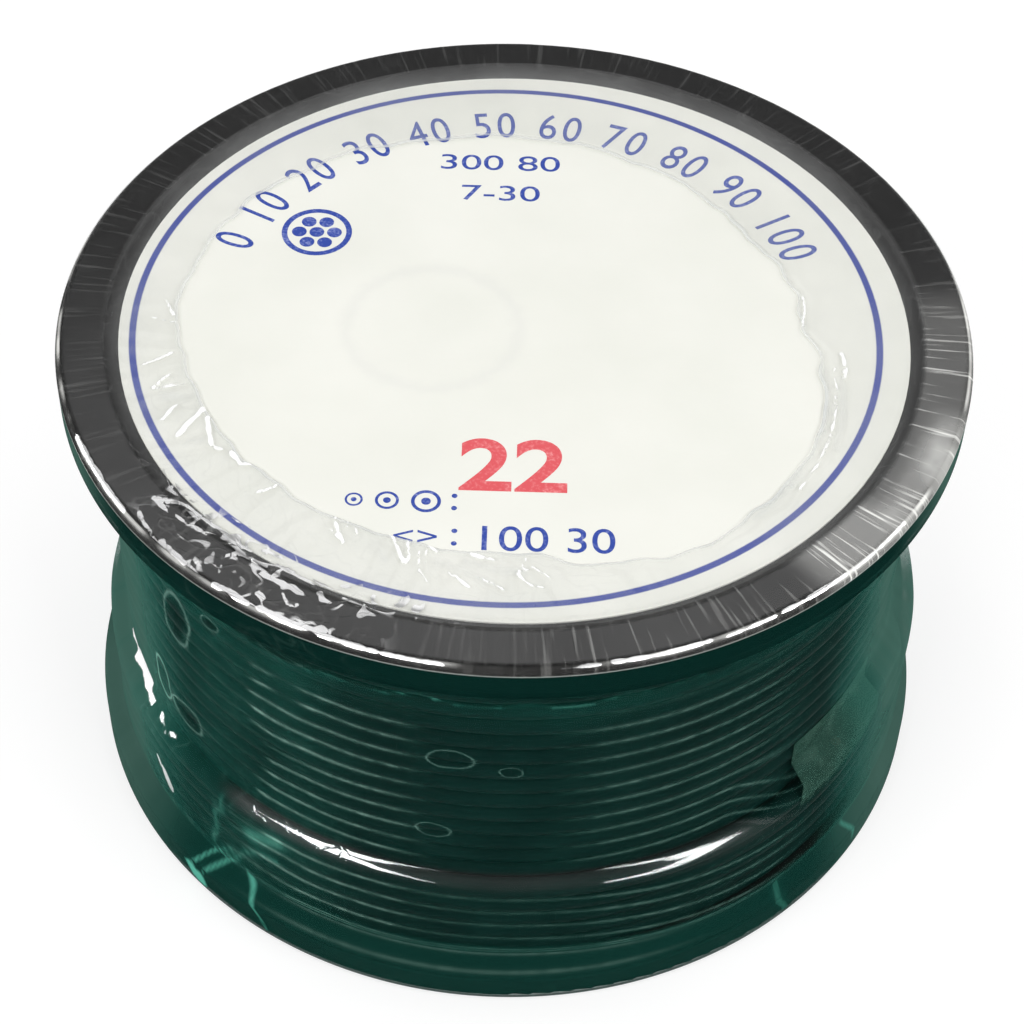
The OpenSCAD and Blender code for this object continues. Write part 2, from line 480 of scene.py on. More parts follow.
def paper_finish():
    """Matt white paper with a printed blue ring and the faint mark of a cup's foot."""
    finish = Finish("white_label_paper")
    flat = finish.vector("MULTIPLY", finish.place, (1, 1, 0))
    fibre = finish.mottle(3.2, 5)
    cloud = finish.mottle(0.11, 3)
    wander = finish.mottle(1.1, 2)

    def distance(middle):
        return finish.vector("DISTANCE", flat, middle, output="Value")

    ring = 1 - (distance(RING_MIDDLE) - RING_R).size().rise(
        RING_W / 2 - 0.07, RING_W / 2 + 0.07)
    inked = ring * (1.1 + fibre * 0.6)
    stain = (distance(STAIN_MIDDLE) - STAIN_R + wander * 0.9).bell(0.55)
    speck = finish.mottle(1.9, 3).rise(0.2, 0.34)
    paper = finish.mix(0.5 + cloud * 2.4, (0.755, 0.76, 0.70, 1), (0.80, 0.80, 0.745, 1))
    paper = finish.laid_over(paper, (
        (stain * 0.12, grey(0.55)), (speck * 0.05, (0.55, 0.52, 0.5, 1)),
        (inked.least(1), RING_INK),
    ))
    return finish.shade({
        "Base Color": paper,
        "Roughness": 0.62 + fibre * 0.1,
        "Specular IOR Level": 0.15,
        "Normal": finish.bump(fibre * 0.012 + cloud * 0.03),
    })


def ink_finish(name, colour, pale):
    """Printing ink that lets a little of the paper's grain through."""
    finish = Finish(name)
    fibre = finish.mottle(4.5, 4)
    blot = finish.mottle(0.8, 3)
    return finish.shade({
        "Base Color": finish.mix((fibre + blot * 0.6).rise(-0.05, 0.45) * 0.6, colour, pale),
        "Roughness": 0.5 + fibre * 0.1,
        "Specular IOR Level": 0.2,
        "Normal": finish.bump(fibre * 0.006),
    })


def tape_finish():
    """Clear tape, dulled and mottled where its glue has let go of the turns."""
    finish = Finish("clear_tape")
    glue = finish.mottle(0.55, 3, 0.4)
    patch = glue.rise(-0.06, 0.12)
    return finish.shade({
        "Base Color": finish.mix(patch, (0.03, 0.08, 0.06, 1), (0.045, 0.105, 0.08, 1)),
        "Alpha": (0.62 + patch * 0.1) * finish.height.rise(10.2, 11.4),
        "Roughness": 0.6 + glue * 0.3,
        "Specular IOR Level": 0.0,
        "Normal": finish.bump(glue * 0.01),
    })


BUBBLES = (     # azimuth, height, half width, half height, in degrees and millimetres
    (-97, 25.1, 1.6, 0.95),
    (-89, 24.1, 0.9, 0.5),
    (-99, 16.9, 1.3, 0.7),
    (-140.5, 15.6, 2, 1.2),
    (-140.5, 26.4, 1.5, 2.6),
    (-147, 16.6, 1.2, 2.2),
    (-133, 29.3, 0.8, 0.6),
    (-120, 31.2, 1.7, 0.4),
)


def film_lines(finish, crumple):
    """Fine pale curls and kinks where the film is crumpled."""
    loops = finish.noise(finish.wall(30, 1.5, 1), 0.26, 1, 0.8).bell(0.014)
    kinks = finish.noise(finish.wall(26, 2.1, 1.4), 0.55, 0, 0.5).bell(0.018)
    return (loops + kinks * 0.7) * crumple


def film_glints(finish, warp, glint):
    """Wandering glints and specks in the shining folds."""
    worms = 1 - finish.noise(finish.wall(30, 1.3, 1), 0.36, 0, 1.0).size().rise(0.02, 0.05)
    specks = finish.noise(finish.wall(30, 1, 1), 0.8, 0, 0.6).rise(0.16, 0.2)
    return (worms * warp.rise(0.0, 0.05)).most(specks) * glint


def film_bubbles(finish, warp):
    """The outlines of the bubbles under the film, and their clear insides."""
    rings, domes = 0.0, 0.0
    for azimuth, height, half_width, half_height in BUBBLES:
        side = finish.vector(
            "DOT_PRODUCT", finish.place, toward(azimuth + 90, 0)[:], output="Value")
        across = (side + warp * 1.1) / half_width
        above = (finish.height - height + warp * 0.7) / half_height
        off = (across * across + above * above) ** 0.5
        near = finish.facing(azimuth).rise(0.8, 0.85)
        rings = rings + (off - 1).bell(0.09) * near
        domes = domes + (1 - off).rise(-0.1, 0.6) * near
    return rings, domes


def rim_streaks(finish, warp):
    """Pale radial streaks on the flat rim, with a painted glow and flare of lamp light at the
    right.
    """
    streaks = finish.noise(finish.wall(75, 0.15), 1.1, 2).rise(0.04, 0.26)
    scratched = finish.sector(-64, 18, 6)
    # Painted highlight: the glow and flare of light on the rim at the right
    glow = finish.sector(-22, 22, 10) * 0.46 + finish.sector(-43, 3, 6) * 0.75
    flare = finish.sector(-27, 3, 10) * finish.radius.rise(29.4, 31.6)
    return (streaks * (0.04 + 0.14 * scratched + 0.9 * glow) + 0.2 * glow
            + flare * (0.3 + streaks * 0.3 + warp * 0.8))


def film_finish():
    """Clear shrunk film. The film's own attributes say where it mirrors, where it is
    milky, where it is crumpled, where it glints and where highlights are painted on the turns'
    crests.
    It is clear but for a veil, which has a tint and carries painted highlights and shade, and a
    gleam, which mirrors."""
    finish = Finish("clear_film")
    shine, haze, crumple, glint, crest_highlight, turn, bright = (
        finish.attribute(fact) for fact in FILM_FACTS)
    wall = finish.wall(30, 1, 1)
    warp = finish.noise(wall, 0.35, 2)
    drift = finish.noise(wall, 0.13, 2)
    fine = finish.noise(wall, 1.1, 2)

    on_top = finish.height.rise(fold_z - 0.26, fold_z - 0.06)
    on_side = 1 - on_top
    on_rim = finish.radius.rise(slope_top_r - 0.4, slope_top_r + 0.2) * on_top
    grazing = finish.node(
        "ShaderNodeLayerWeight", {}, {"Blend": 0.5, "Normal": finish.outward}, "Facing")
    # Near the lower flange the opaque green also lies over the lowest turn and covers the shade
    # on it
    over_edge = finish.height.rise(inner_high - 0.6, inner_high + 0.1).most(
        0.8 - 0.8 * finish.height.rise(inner_low + 1.2, inner_low + 2.4)) * on_side
    funnel = finish.height.rise(contact_z - 1.5, contact_z) * finish.sector(-90, 36, 24)
    # Paler green where the film turns edge-on: partly the milky film seen through more of its
    # thickness, partly a painted sheen
    edge_on_sheen = on_side * grazing.rise(0.68, 0.9) * (0.9 + warp * 0.7) * (1 - funnel)

    lines = film_lines(finish, crumple)
    rings, domes = film_bubbles(finish, warp)
    # Painted highlights: pale lines along the crests of the turns
    crest = ((turn + fine * 0.02).fraction() - 0.5) * pitch
    painted_crest_highlights = crest.bell(0.2) * crest_highlight * (0.8 + fine * 1.5).most(0.15)
    flash = (bright + fine * 0.3).rise(0.46, 0.54)
    # Over the label the glint lines are painted white in the veil as highlights, instead of
    # mirroring
    painted_label_highlights = flash * on_top * (1 - finish.radius.rise(label_r - 0.2, label_r))
    glints = film_glints(finish, warp, glint).most(flash - painted_label_highlights)

    milky = haze * (1 + drift * 2.0) * (1 - domes * 0.8)
    veil = milky + edge_on_sheen + lines * 0.24 + rings * 0.2 + painted_crest_highlights * 0.28
    veil = veil + on_rim * rim_streaks(finish, warp) + over_edge * 0.85 + painted_label_highlights * 0.6
    gleam = shine * (1 + drift * 0.6) * (1 - grazing.rise(0.7, 0.95) * on_side) + glints
    solid = (veil.most(0.0) + gleam).least(0.97)

    # Painted shade: darker green towards the bottom, where the floor lights the film more
    deep_darker_below = finish.mix(finish.height.rise(8, 24), LOW_SHADED_GREEN, DEEP_GREEN)
    # Crest highlights, bubble outlines and crumple curls all take the pale highlight tint
    highlight_tinted_marks = (painted_crest_highlights * 0.9 + rings * 0.6 + lines * 0.4).least(1.0)
    tint = finish.laid_over(finish.mix(over_edge, MILKY_GREEN, deep_darker_below), (
        (edge_on_sheen.least(0.9), EDGE_SHEEN_GREEN), (haze.rise(0.12, 0.45) * on_side, MINT),
        (highlight_tinted_marks, CREST_HIGHLIGHT_TINT), (on_top, MILKY_GREY), (on_rim, RIM_STREAK_AND_GLOW_WHITE),
        (painted_label_highlights, grey(1)),
    ))
    return finish.shade({
        "Base Color": finish.mix(gleam / (solid + 0.001), tint, grey(1)),
        "Metallic": gleam / (solid + 0.001),
        "Alpha": solid,
        "Roughness": 0.06 + haze * 0.5 + glints * 0.2,
        "Specular IOR Level": 0.0,
        "Normal": finish.bump(
            lines * 0.04 + rings * 0.03 + drift * 0.05
            + finish.noise(finish.wall(30, 0.5, 0.6), 0.6, 1, 0.3) * (0.001 + crumple * 0.03)
        ),
    })


def film_inside_finish():
    """The inner face of the film, which adds next to nothing to the outer one."""
    finish = Finish("clear_film_inside")
    drift = finish.mottle(0.2, 2)
    return finish.shade({
        "Base Color": grey(0.5),
        "Alpha": 0.001,
        "Roughness": 0.1 + drift * 0.02,
        "Specular IOR Level": 0.1,
    })


# --- Pieces ---

def finish_piece(name, bm, materials, nodes, smooth=True):
    """Turns a shape in millimetres into a piece that stands for these nodes."""
    bmesh.ops.scale(bm, verts=bm.verts, vec=(MM,) * 3)
    mesh = bpy.data.meshes.new(name)
    for face in bm.faces:
        face.smooth = smooth
    bm.to_mesh(mesh)
    bm.free()
    for material in materials:
        mesh.materials.append(material)
    piece = new_object(name, mesh)
    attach(piece, "root")
    if nodes:
        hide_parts(*nodes)
    return piece


def turned(bm, loop, sweep, steps, climb=0.0):
    """Draws a loop of wire section round the arbor and returns the loop at its end."""
    return bmesh.ops.spin(
        bm, geom=loop, cent=(0, 0, 0), axis=(0, 0, 1), angle=math.radians(sweep),
        steps=steps, dvec=(0, 0, climb / steps),
    )["geom_last"]


def wire_section(bm, radius, height, azimuth, sides):
    """A circle of wire section that stands in the plane of the arbor's axis."""
    bmesh.ops.create_circle(bm, segments=sides, radius=wire_r)
    spot = Matrix.Rotation(math.radians(azimuth), 4, "Z")
    spot @= Matrix.Translation((radius, 0, height))
    spot @= Matrix.Rotation(math.radians(90), 4, "X")
    bmesh.ops.transform(bm, verts=bm.verts, matrix=spot)
    return bm.verts[:] + bm.edges[:]


STEP_OVER = 26      # the sector in which a turn steps over to the next


def close_tube(bm):
    bmesh.ops.remove_doubles(bm, verts=bm.verts, dist=0.001)
    ends = [edge for edge in bm.edges if edge.is_boundary]
    bmesh.ops.holes_fill(bm, edges=ends, sides=0)
    bmesh.ops.recalc_face_normals(bm, faces=bm.faces)


def wind_layer(number, sides, steps):
    """One layer of wire as a single tube. Seen from above, it is wound clockwise. Odd
    layers go down and even ones up, and each turn steps over in the same sector."""
    node = f"wire_layer_{number:02d}"
    height = lowest(node) + wire_r
    turns = 1 + round((highest(node) - wire_r - height) / pitch)
    climb = pitch if number % 2 == 0 else -pitch
    height = height if climb > 0 else highest(node) - wire_r
    start = START_ANGLE - STEP_OVER / 2

    bm = bmesh.new()
    loop = wire_section(bm, reach(node) - wire_r, height, start, sides)
    loop = turned(bm, loop, STEP_OVER - 360, steps)
    turned(bm, loop, -STEP_OVER, steps // 12, climb)
    first = bm.verts[:] + bm.edges[:] + bm.faces[:]
    for turn in range(1, turns):
        copy = bmesh.ops.duplicate(bm, geom=first)["geom"]
        moved = [item for item in copy if isinstance(item, bmesh.types.BMVert)]
        bmesh.ops.translate(bm, verts=moved, vec=(0, 0, climb * turn))
    close_tube(bm)
    finish_piece(f"winding_{number:02d}", bm, [PVC], [node])


def lay_finish_end():
    """The last stretch of the wire, up to its cut under the tape."""
    bm = bmesh.new()
    start = START_ANGLE - STEP_OVER / 2
    loop = wire_section(bm, last_r - wire_r, finish_z, start, 20)
    turned(bm, loop, CUT_ANGLE - start, 44)
    close_tube(bm)
    finish_piece("winding_end", bm, [PVC], ["wire_finish_end"])


# --- The film's shape ---

COLUMNS = 640       # points round the film
LOW_COLUMNS = 480   # and round its part below the lower flange
OPENING = (     # azimuth, and the opening's reach there as a share of the film's reach
    (0, 0.625), (12, 0.628), (30, 0.600), (60, 0.612), (88, 0.630), (105, 0.642),
    (130, 0.690), (150, 0.722), (180, 0.738), (205, 0.715), (230, 0.700), (255, 0.690),
    (272, 0.682), (285, 0.732), (300, 0.758), (320, 0.738), (338, 0.715), (352, 0.668),
)


def spread(stops):
    """Numbers from stop to stop, with so many steps after each: ((start, steps), ...)."""
    rows = []
    for (start, steps), (end, _) in zip(stops, stops[1:]):
        rows += [start + (end - start) * step / steps for step in range(steps)]
    return rows + [stops[-1][0]]


def ease(share):
    share = min(max(share, 0.0), 1.0)
    return share * share * (3 - 2 * share)


def between(start, end, share):
    return start + (end - start) * share


def off_angle(azimuth, middle):
    """How far an azimuth is from a middle, from -180 to 180 degrees."""
    return (azimuth - middle + 180) % 360 - 180


def hump(off, width):
    return math.exp(-(off / width) ** 2)


def within(azimuth, middle, half, soft=10):
    """1 within `half` degrees of the middle, fading over `soft` degrees."""
    return 1 - ease((abs(off_angle(azimuth, middle)) - half) / soft)


def unevenness(azimuth, along, size, seed):
    """Smooth noise from about -1 to 1, with features of this size in millimetres."""
    turn = math.radians(azimuth)
    reach_here = 30 / size
    return noise.noise(Vector((
        math.cos(turn) * reach_here + seed * 7.3,
        math.sin(turn) * reach_here - seed * 3.1,
        along / size + seed * 11.7,
    ))) * 1.6


FILM_FACTS = ("shine", "haze", "crumple", "glint", "crest_highlight", "turn", "bright")


def facts(shine, haze, crumple, glint=0.0, crest_highlight=0.0, turn=0.0, bright=0.0):
    """What the film's finish needs to know about a place of the film."""
    return shine, haze, crumple, glint, crest_highlight, turn, bright


def off_line(azimuth, level, line):
    """How far a place of the film is from a line of (azimuth, level) points."""
    nearest = math.inf
    for (start, low), (end, high) in zip(line, line[1:]):
        length = math.radians(off_angle(end, start)) * film_r
        rise = high - low
        across = math.radians(off_angle(azimuth, start)) * film_r
        share = (across * length + (level - low) * rise) / (length ** 2 + rise ** 2)
        share = min(max(share, 0), 1)
        nearest = min(nearest, math.hypot(
            across - share * length, level - low - share * rise))
    return nearest


TOP_GLINTS = (      # half width, and the azimuth and radius of each point of the line
    (0.17, (-141.6, 30.1), (-138.2, 28.7), (-131.8, 28.4), (-128.6, 28.6)),
    (0.13, (-140.8, 30.2), (-139.4, 30.1), (-132.1, 29.4)),
    (0.13, (-130.6, 28.9), (-126.2, 29)),
    (0.14, (-128, 30.1), (-126.8, 29.2), (-122.6, 29)),
    (0.20, (-122.4, 29.7), (-118.6, 29.7)),
    (0.14, (-118.5, 30.3), (-116.8, 31), (-115.8, 30.8)),
    (0.22, (-120.7, 31.2), (-119.9, 31.4)),
    (0.15, (-130.3, 31.4), (-129, 31.7)),
    (0.12, (-128.3, 31.1), (-127.1, 30.8), (-126.7, 31.2)),
    (0.16, (-134.1, 32), (-130.6, 32.1)),
    (0.14, (-140.7, 31.6), (-136.5, 32.1)),
    (0.20, (-125.8, 32.2), (-123.8, 32.1), (-120.8, 32.2)),
    (0.10, (-111.4, 28.9), (-107.8, 29.1)),
    (0.14, (-122.1, 28.3), (-115.7, 28.5)),
    (0.08, (-133, 27.1), (-129, 26.9)),
    (0.16, (-156, 32.3), (-149, 32.2), (-142, 32.3)),
    (0.20, (-119.5, 32.1), (-116, 32.2), (-112, 32.1)),
    (0.15, (-112, 32.2), (-106, 32.3)),
    (0.10, (-105.2, 32.3), (-97, 32.4)),
    (0.06, (-84, 32.4), (-79, 32.35)),
    (0.09, (-78, 32.3), (-72, 32.35), (-66, 32.3)),
    (0.06, (-64.5, 32.4), (-58, 32.35)),
    (0.10, (-57, 32.3), (-47, 32.3)),
    (0.07, (-46, 32.35), (-36, 32.3)),
)
# White lines painted over the label as highlights of its film
LABEL_HIGHLIGHT_LINES = (   # the same, in the film over the label
    (0.13, (-121.2, 22.1), (-119.9, 23.1), (-116.4, 24.4)),
    (0.11, (-118.3, 22.2), (-117.6, 23.1)),
    (0.12, (-119.5, 23.9), (-117.6, 24.1)),
    (0.12, (-116.3, 22.9), (-114.9, 23.6)),
    (0.13, (-111.6, 22), (-109.6, 22.6), (-106, 24.5), (-105.7, 23.9), (-107.5, 22.2)),
    (0.09, (-104.6, 23.2), (-103.5, 24.8), (-101.5, 25.7)),
    (0.08, (-103.7, 22.9), (-102.8, 24.1)),
    (0.10, (-103.7, 22.4), (-101.6, 23)),
    (0.14, (-96.3, 22.7), (-92.4, 23.1)),
    (0.12, (-99.2, 24.5), (-97, 25), (-95.6, 25.5)),
    (0.08, (-94.9, 24.5), (-90.4, 25.6)),
    (0.11, (-87.1, 22.9), (-88.5, 24.2), (-86.6, 25.2), (-84.8, 25.5)),
    (0.10, (-87.5, 24), (-85.9, 23.6), (-83.6, 24.6)),
    (0.16, (-167.7, 26.5), (-169.7, 24.5)),
    (0.13, (-164.6, 24.8), (-162.3, 26.3), (-162.2, 24)),
    (0.15, (-155.1, 26.4), (-157.5, 25.1)),
    (0.24, (-151.4, 25.9), (-152.8, 25), (-155.1, 23.4)),
    (0.19, (-152.9, 23.5), (-146.9, 24.3), (-145.1, 24)),
    (0.17, (-143.9, 23.5), (-140.4, 23.6), (-139.5, 23)),
    (0.11, (177, 25.2), (-178.9, 24.4)),
    (0.11, (-178.4, 25.8), (-176.9, 24.1)),
    (0.17, (-133.9, 24.3), (-132.8, 23.1)),
    (0.10, (-10, 22.9), (-17.8, 23.6), (-24.8, 24.2)),
    (0.08, (-25.5, 24.3), (-33.8, 24.8), (-39.3, 25.1)),
    (0.09, (8.9, 21), (5.3, 20.9), (0.2, 20.5)),
    (0.15, (-6, 23.3), (-9.6, 23.7), (-12.7, 23.7)),
)
# Grey lines painted over the label as the shade of the film's folds
LABEL_FOLD_SHADES = (     # grey folds: haze, half width, and the azimuth and radius of each point
    (0.16, 0.30, (-10.4, 22), (-18.6, 22.8), (-26, 23.6)),
    (0.16, 0.30, (-26, 23.6), (-39.5, 24.4)),
    (0.10, 0.24, (-39.5, 24.4), (-48.7, 24.7)),
    (0.14, 0.28, (-12.8, 23.5), (-20.8, 24.4), (-28, 25.2)),
    (0.14, 0.35, (-97, 23.3), (-92, 23.9), (-87, 24)),
    (0.12, 0.30, (-101.5, 23.7), (-96.5, 24.2), (-93, 25)),
    (0.10, 0.50, (-112, 23.5), (-108.5, 24.6)),
    (0.12, 0.60, (-160, 25.4), (-158.5, 24.2)),
    (0.12, 0.50, (-149.5, 25.4), (-148, 24.4)),
)
SLEEVE_GLINTS = (   # half width, and the azimuth and height of each point of the line
    (0.10, (-163, 12.9), (-159, 12.9)),
    (0.42, (-158.4, 12.8), (-155.4, 12.9), (-152.6, 12.7)),
    (0.14, (-152, 12.4), (-149.6, 12.3)),
    (0.07, (-147.6, 12.4), (-144.6, 12), (-142.4, 12.3)),
    (0.22, (-146.8, 8.3), (-146, 7.5)),
    (0.50, (-144.9, 7.3), (-143.5, 6.2)),
    (0.08, (-65.2, 4.1), (-62.9, 3.9)),
    (0.09, (-113.4, 6.1), (-113.1, 6)),
)


def glinting(azimuth, level, glints):
    """0.5 along the edge of a white glint and more inside it."""
    return max(
        (0.5 + half - off_line(azimuth, level, line) for half, *line in glints
         if abs(off_angle(azimuth, line[0][0])) < 18), default=0.0)


def opening_reach(azimuth):
    """How far the opening of the folded film is from the axis, in this direction."""
    azimuth %= 360
    stops = OPENING + ((360, OPENING[0][1]),)
    for (start, first), (end, second) in zip(stops, stops[1:]):
        if azimuth <= end:
            share = between(first, second, ease((azimuth - start) / (end - start)))
            break
    return share * film_r + 0.22 * unevenness(azimuth, 0, 2.4, 1)


fold_z = label_high + FILM_CLEAR + FILM_T       # outer face of the film on the label
slope_foot_r = slope_top_r - SLOPE_W - 0.35     # the film bridges the foot of the slope
corner = 0.42                                   # how far the film's edge over a rim reaches
CORNER_FLATNESS = 1.5                           # 1 is a round edge, 2 a straight chamfer


def front_folds(azimuth):
    """1 at the front and left, where the film over the label is drawn into folds."""
    return within(azimuth, 236, 46, 16)


def fold_lift(azimuth, radius, opening):
    """How far the folded film stands off the label."""
    inset = radius - opening
    near_lip = hump(inset - 0.25, 0.28) * (0.10 + 0.05 * unevenness(azimuth, 0, 3, 2))
    line = 1.1 + 0.6 * unevenness(azimuth, 0, 4, 3)
    second = hump(inset - line, 0.22) * 0.13 * within(azimuth, -18, 32)
    rays = front_folds(azimuth) * ease(inset / 1.2)
    bend = azimuth + 2.5 * unevenness(azimuth, radius * 0.5, 6, 4)
    ridge = 1 - abs(unevenness(bend, radius * 0.22, 1.9, 5))
    rays *= 0.20 * max(ridge, 0) ** 4 + 0.10 * max(unevenness(bend, radius, 3.5, 6), 0)
    far = 0.03 * max(unevenness(azimuth, radius, 4, 7), 0)
    return near_lip + second + rays + far


def edge_of_rim(share):
    """How far out and down the film has gone, this share of the way over a rim's edge."""
    turn = math.radians(90 * share)
    return (corner * math.sin(turn) ** CORNER_FLATNESS,
            corner * (1 - math.cos(turn) ** CORNER_FLATNESS))


def front_left(azimuth):
    """1 at the front left, where the film over the rim is crumpled."""
    return within(azimuth, 237, 12, 9)


def film_over_label(azimuth, share):
    opening = opening_reach(azimuth)
    radius = between(opening, slope_foot_r, share)
    lift = fold_lift(azimuth, radius, opening) * (1 - ease(share * 4 - 3) * 0.5)
    lip = hump(radius - opening - 0.1, 0.14)
    # The haze also holds grey fold lines painted as shade
    return radius, fold_z + lift, facts(
        0.05, 0.11 + 0.40 * lip + folds(azimuth, radius, LABEL_FOLD_SHADES),
        0.12 * front_folds(azimuth),
        glint=0.9 * within(azimuth, 243, 14, 10) * ease(share * 4 - 3),
        bright=glinting(azimuth, radius, TOP_GLINTS + LABEL_HIGHLIGHT_LINES))


def film_up_slope(azimuth, share):
    radius = between(slope_foot_r, slope_top_r, share)
    rise = ease(share) * 0.5 + share * 0.5
    lift = 0.5 * fold_lift(azimuth, radius, opening_reach(azimuth)) * (1 - share)
    lift += 0.12 * front_left(azimuth) * max(unevenness(azimuth, radius, 2.2, 8), 0)
    return radius, between(fold_z, film_high, rise) + lift * (1 - rise), facts(
        0.06, 0.08 * (1 - share), 0.1 + 0.4 * front_left(azimuth),
        glint=0.95 * within(azimuth, 238, 18, 10),
        bright=glinting(azimuth, radius, TOP_GLINTS))


def film_on_rim(azimuth, share):
    radius = between(slope_top_r, film_r - corner, share)
    dip = 0.006 * (1 + unevenness(azimuth, radius, 5, 9))
    crumpled = front_left(azimuth) * (0.35 + 0.65 * abs(2 * share - 1))
    return radius, film_high - dip, facts(
        between(0.068, 0.001, ease(share * 12 - 11)), 0.0, 0.02 + 0.15 * front_left(azimuth),
        glint=0.95 * crumpled, bright=glinting(azimuth, radius, TOP_GLINTS))


def film_round_edge(azimuth, share):
    out, down = edge_of_rim(share)
    radius = film_r - corner + out
    # Painted highlight: a white line in the veil along the rim's edge, in the sectors where the
    # lamps catch it
    edge_highlight_sectors = max(0.6 * within(azimuth, 232, 30, 8), 0.9 * within(azimuth, 312, 24, 14),
              0.7 * within(azimuth, 184, 14, 8), 0.7 * within(azimuth, 358, 10, 8))
    painted_edge_highlight = edge_highlight_sectors * min(max(0.5 + 1.1 * unevenness(azimuth, 0, 2.4, 17), 0), 1)
    haze = 0.95 * hump(share - 0.33, 0.2) * painted_edge_highlight + 0.02 * ease((share - 0.1) / 0.25)
    return radius, film_high - down, facts(
        0.001, haze, 0.02,
        bright=glinting(azimuth, radius, TOP_GLINTS) * (1 - ease(share * 4 - 2)))


def top_film(azimuth, row):
    """Radius, height and facts. Rows run from 0 at the opening over the label to 1, the
    slope to 2, the rim to 3, its edge to 4 and the side to 5."""
    parts = (film_over_label, film_up_slope, film_on_rim, film_round_edge)
    for start, part in enumerate(parts):
        if row <= start + 1:
            return part(azimuth, row - start)
    height = between(film_high - corner, inner_high, row - 4)
    return film_r, height, facts(0.0008, 0.02, 0.06 * front_left(azimuth))


TOP_ROWS = spread(((0, 6), (0.09, 20), (1, 6), (2, 10), (3, 12), (4, 3), (5, 0)))

film_gap = 0.25                     # from the turns to the outer face of the film
contact_z = inner_high - 4.5        # where the film comes to lie on the turns
STEP_HALF = 0.8                     # half the height of the step between the layers
flare_z = first_last_z - 0.33       # where the film leaves the last layer

SCALLOPS = (-87, -74, -66, -58, -52, -47, -101, -113)


def contact_height(azimuth):
    """Where the film reaches the turns: a scalloped line round the waist."""
    arches = sum(hump(off_angle(azimuth, middle), 3.2) for middle in SCALLOPS)
    return contact_z - 0.25 + 0.55 * arches + 0.35 * unevenness(azimuth, 0, 7, 11)


def sag(azimuth):
    """How far the last layer sags toward the front right, as a share."""
    return ease((azimuth + 88) / 38) * (1 - ease((azimuth + 47) / 9))


def step_height(azimuth):
    """The middle of the step between the two outer layers. It is one turn higher where
    the wire's last stretch lies."""
    azimuth = off_angle(azimuth, 0)
    past_end = ease((azimuth + 47) / 9) * (1 - ease((azimuth - 100) / 40))
    return finish_z - 0.5 - 0.3 * sag(azimuth) + 1.55 * past_end


FOLDS = (       # milky folds: haze, half width, and the azimuth and height of each point
    (0.30, 0.9, (-125.5, 9.7), (-120.8, 10.6)),
    (0.55, 0.5, (-136.2, 1.5), (-133.9, 1)),
    (0.26, 0.25, (-137, 1.8), (-129.4, 6.2)),
    (0.24, 0.3, (-135.7, 0.9), (-125.1, 7.8), (-121.5, 8.2)),
    (0.28, 0.3, (-127, 4.4), (-125, 3.7), (-122, 1)),
    (0.18, 0.35, (-131.2, 11.6), (-133.5, 5.3)),
    (0.40, 0.16, (-143.4, 34.2), (-136.6, 34.8)),
    (0.20, 0.6, (-50.2, 4), (-48.6, 0.9)),
    (0.24, 0.5, (-36, 4), (-34, 1.6)),
)


def folds(azimuth, level, lines=FOLDS):
    """How milky the film is here because it is folded double. With the label's lines it is the
    grey of the painted shade of its folds.
    """
    azimuth += 0.9 * unevenness(azimuth, level, 2.5, 22)
    return sum(
        haze * hump(off_line(azimuth, level, line), half) for haze, half, *line in lines
        if abs(off_angle(azimuth, line[0][0])) < 18)


def left_side(azimuth):
    return within(azimuth, 215, 24, 14)


def torn(azimuth):
    """How crumpled the film on the turns is."""
    return 0.22 * within(azimuth, 230, 14, 12)


def ridges(azimuth, height, step):
    """How strongly the painted highlights on the turns' crests show, and which turn this is:
    whole numbers lie between two crests."""
    azimuth = off_angle(azimuth, 0)
    edge = -123 + 4 * unevenness(0, height, 5, 18) + 5 * unevenness(azimuth, height, 4, 19)
    seen = ease((azimuth - edge) / 3) * ease((-98 - azimuth) / 8)
    seen += 0.8 * ease((azimuth + 86) / 14) * (1 - ease((azimuth + 58) / 18))
    seen += 0.6 * ease((azimuth - 10) / 30) * (1 - ease((azimuth - 165) / 20))
    seen = max(seen, 0.45 * step * within(azimuth, -90, 32, 14), 0.03)
    turn = (height - inner_low + 0.9 * sag(azimuth) * step) / pitch + 0.5 * step
    return seen, turn


def film_under_flange(azimuth, height, contact):
    """The film's free span from the upper flange down to the turns."""
    share = (inner_high - height) / (inner_high - contact)
    drawn = 1 - (1 - share) ** 1.3
    radius = between(film_r, wound_r + film_gap, drawn)
    radius += 0.40 * share * (1 - share) * unevenness(azimuth, height, 3, 13)
    crease = max(hump(height - contact, 0.2) * (0.7 + 0.6 * unevenness(azimuth, 0, 3, 20)), 0)
    return radius, height, facts(
        0.0008, 0.01 + 0.06 * ease(share) + 0.3 * crease + folds(azimuth, height),
        torn(azimuth), glint=0.3 * left_side(azimuth) * hump(share - 0.3, 0.25))


def film_on_turns(azimuth, height, contact, base, step, on_step):
    left = left_side(azimuth)
    below = hump(height - contact, 2.2) * (1 + 1.2 * within(azimuth, -55, 25, 15))
    # Where the painted highlights on the crests show: at the sides, where the lamps catch the
    # turns
    seen, turn = ridges(azimuth, height, step)
    waves = 0.03 * unevenness(azimuth, height, 5, 12)
    waves += 0.12 * left * unevenness(azimuth, height, 4, 21)
    return base + waves * (1 - on_step), height, facts(
        0.0008 + (0.05 + 0.05 * within(azimuth, -124, 12, 10)) * on_step ** 3,
        0.015 + 0.05 * below + 0.1 * left * (1 - on_step) + folds(azimuth, height),
        torn(azimuth),
        crest_highlight=seen * (1 - on_step) * (1 - ease((height - contact + 2.6) / 1.2)), turn=turn,
        bright=glinting(azimuth, height, SLEEVE_GLINTS))


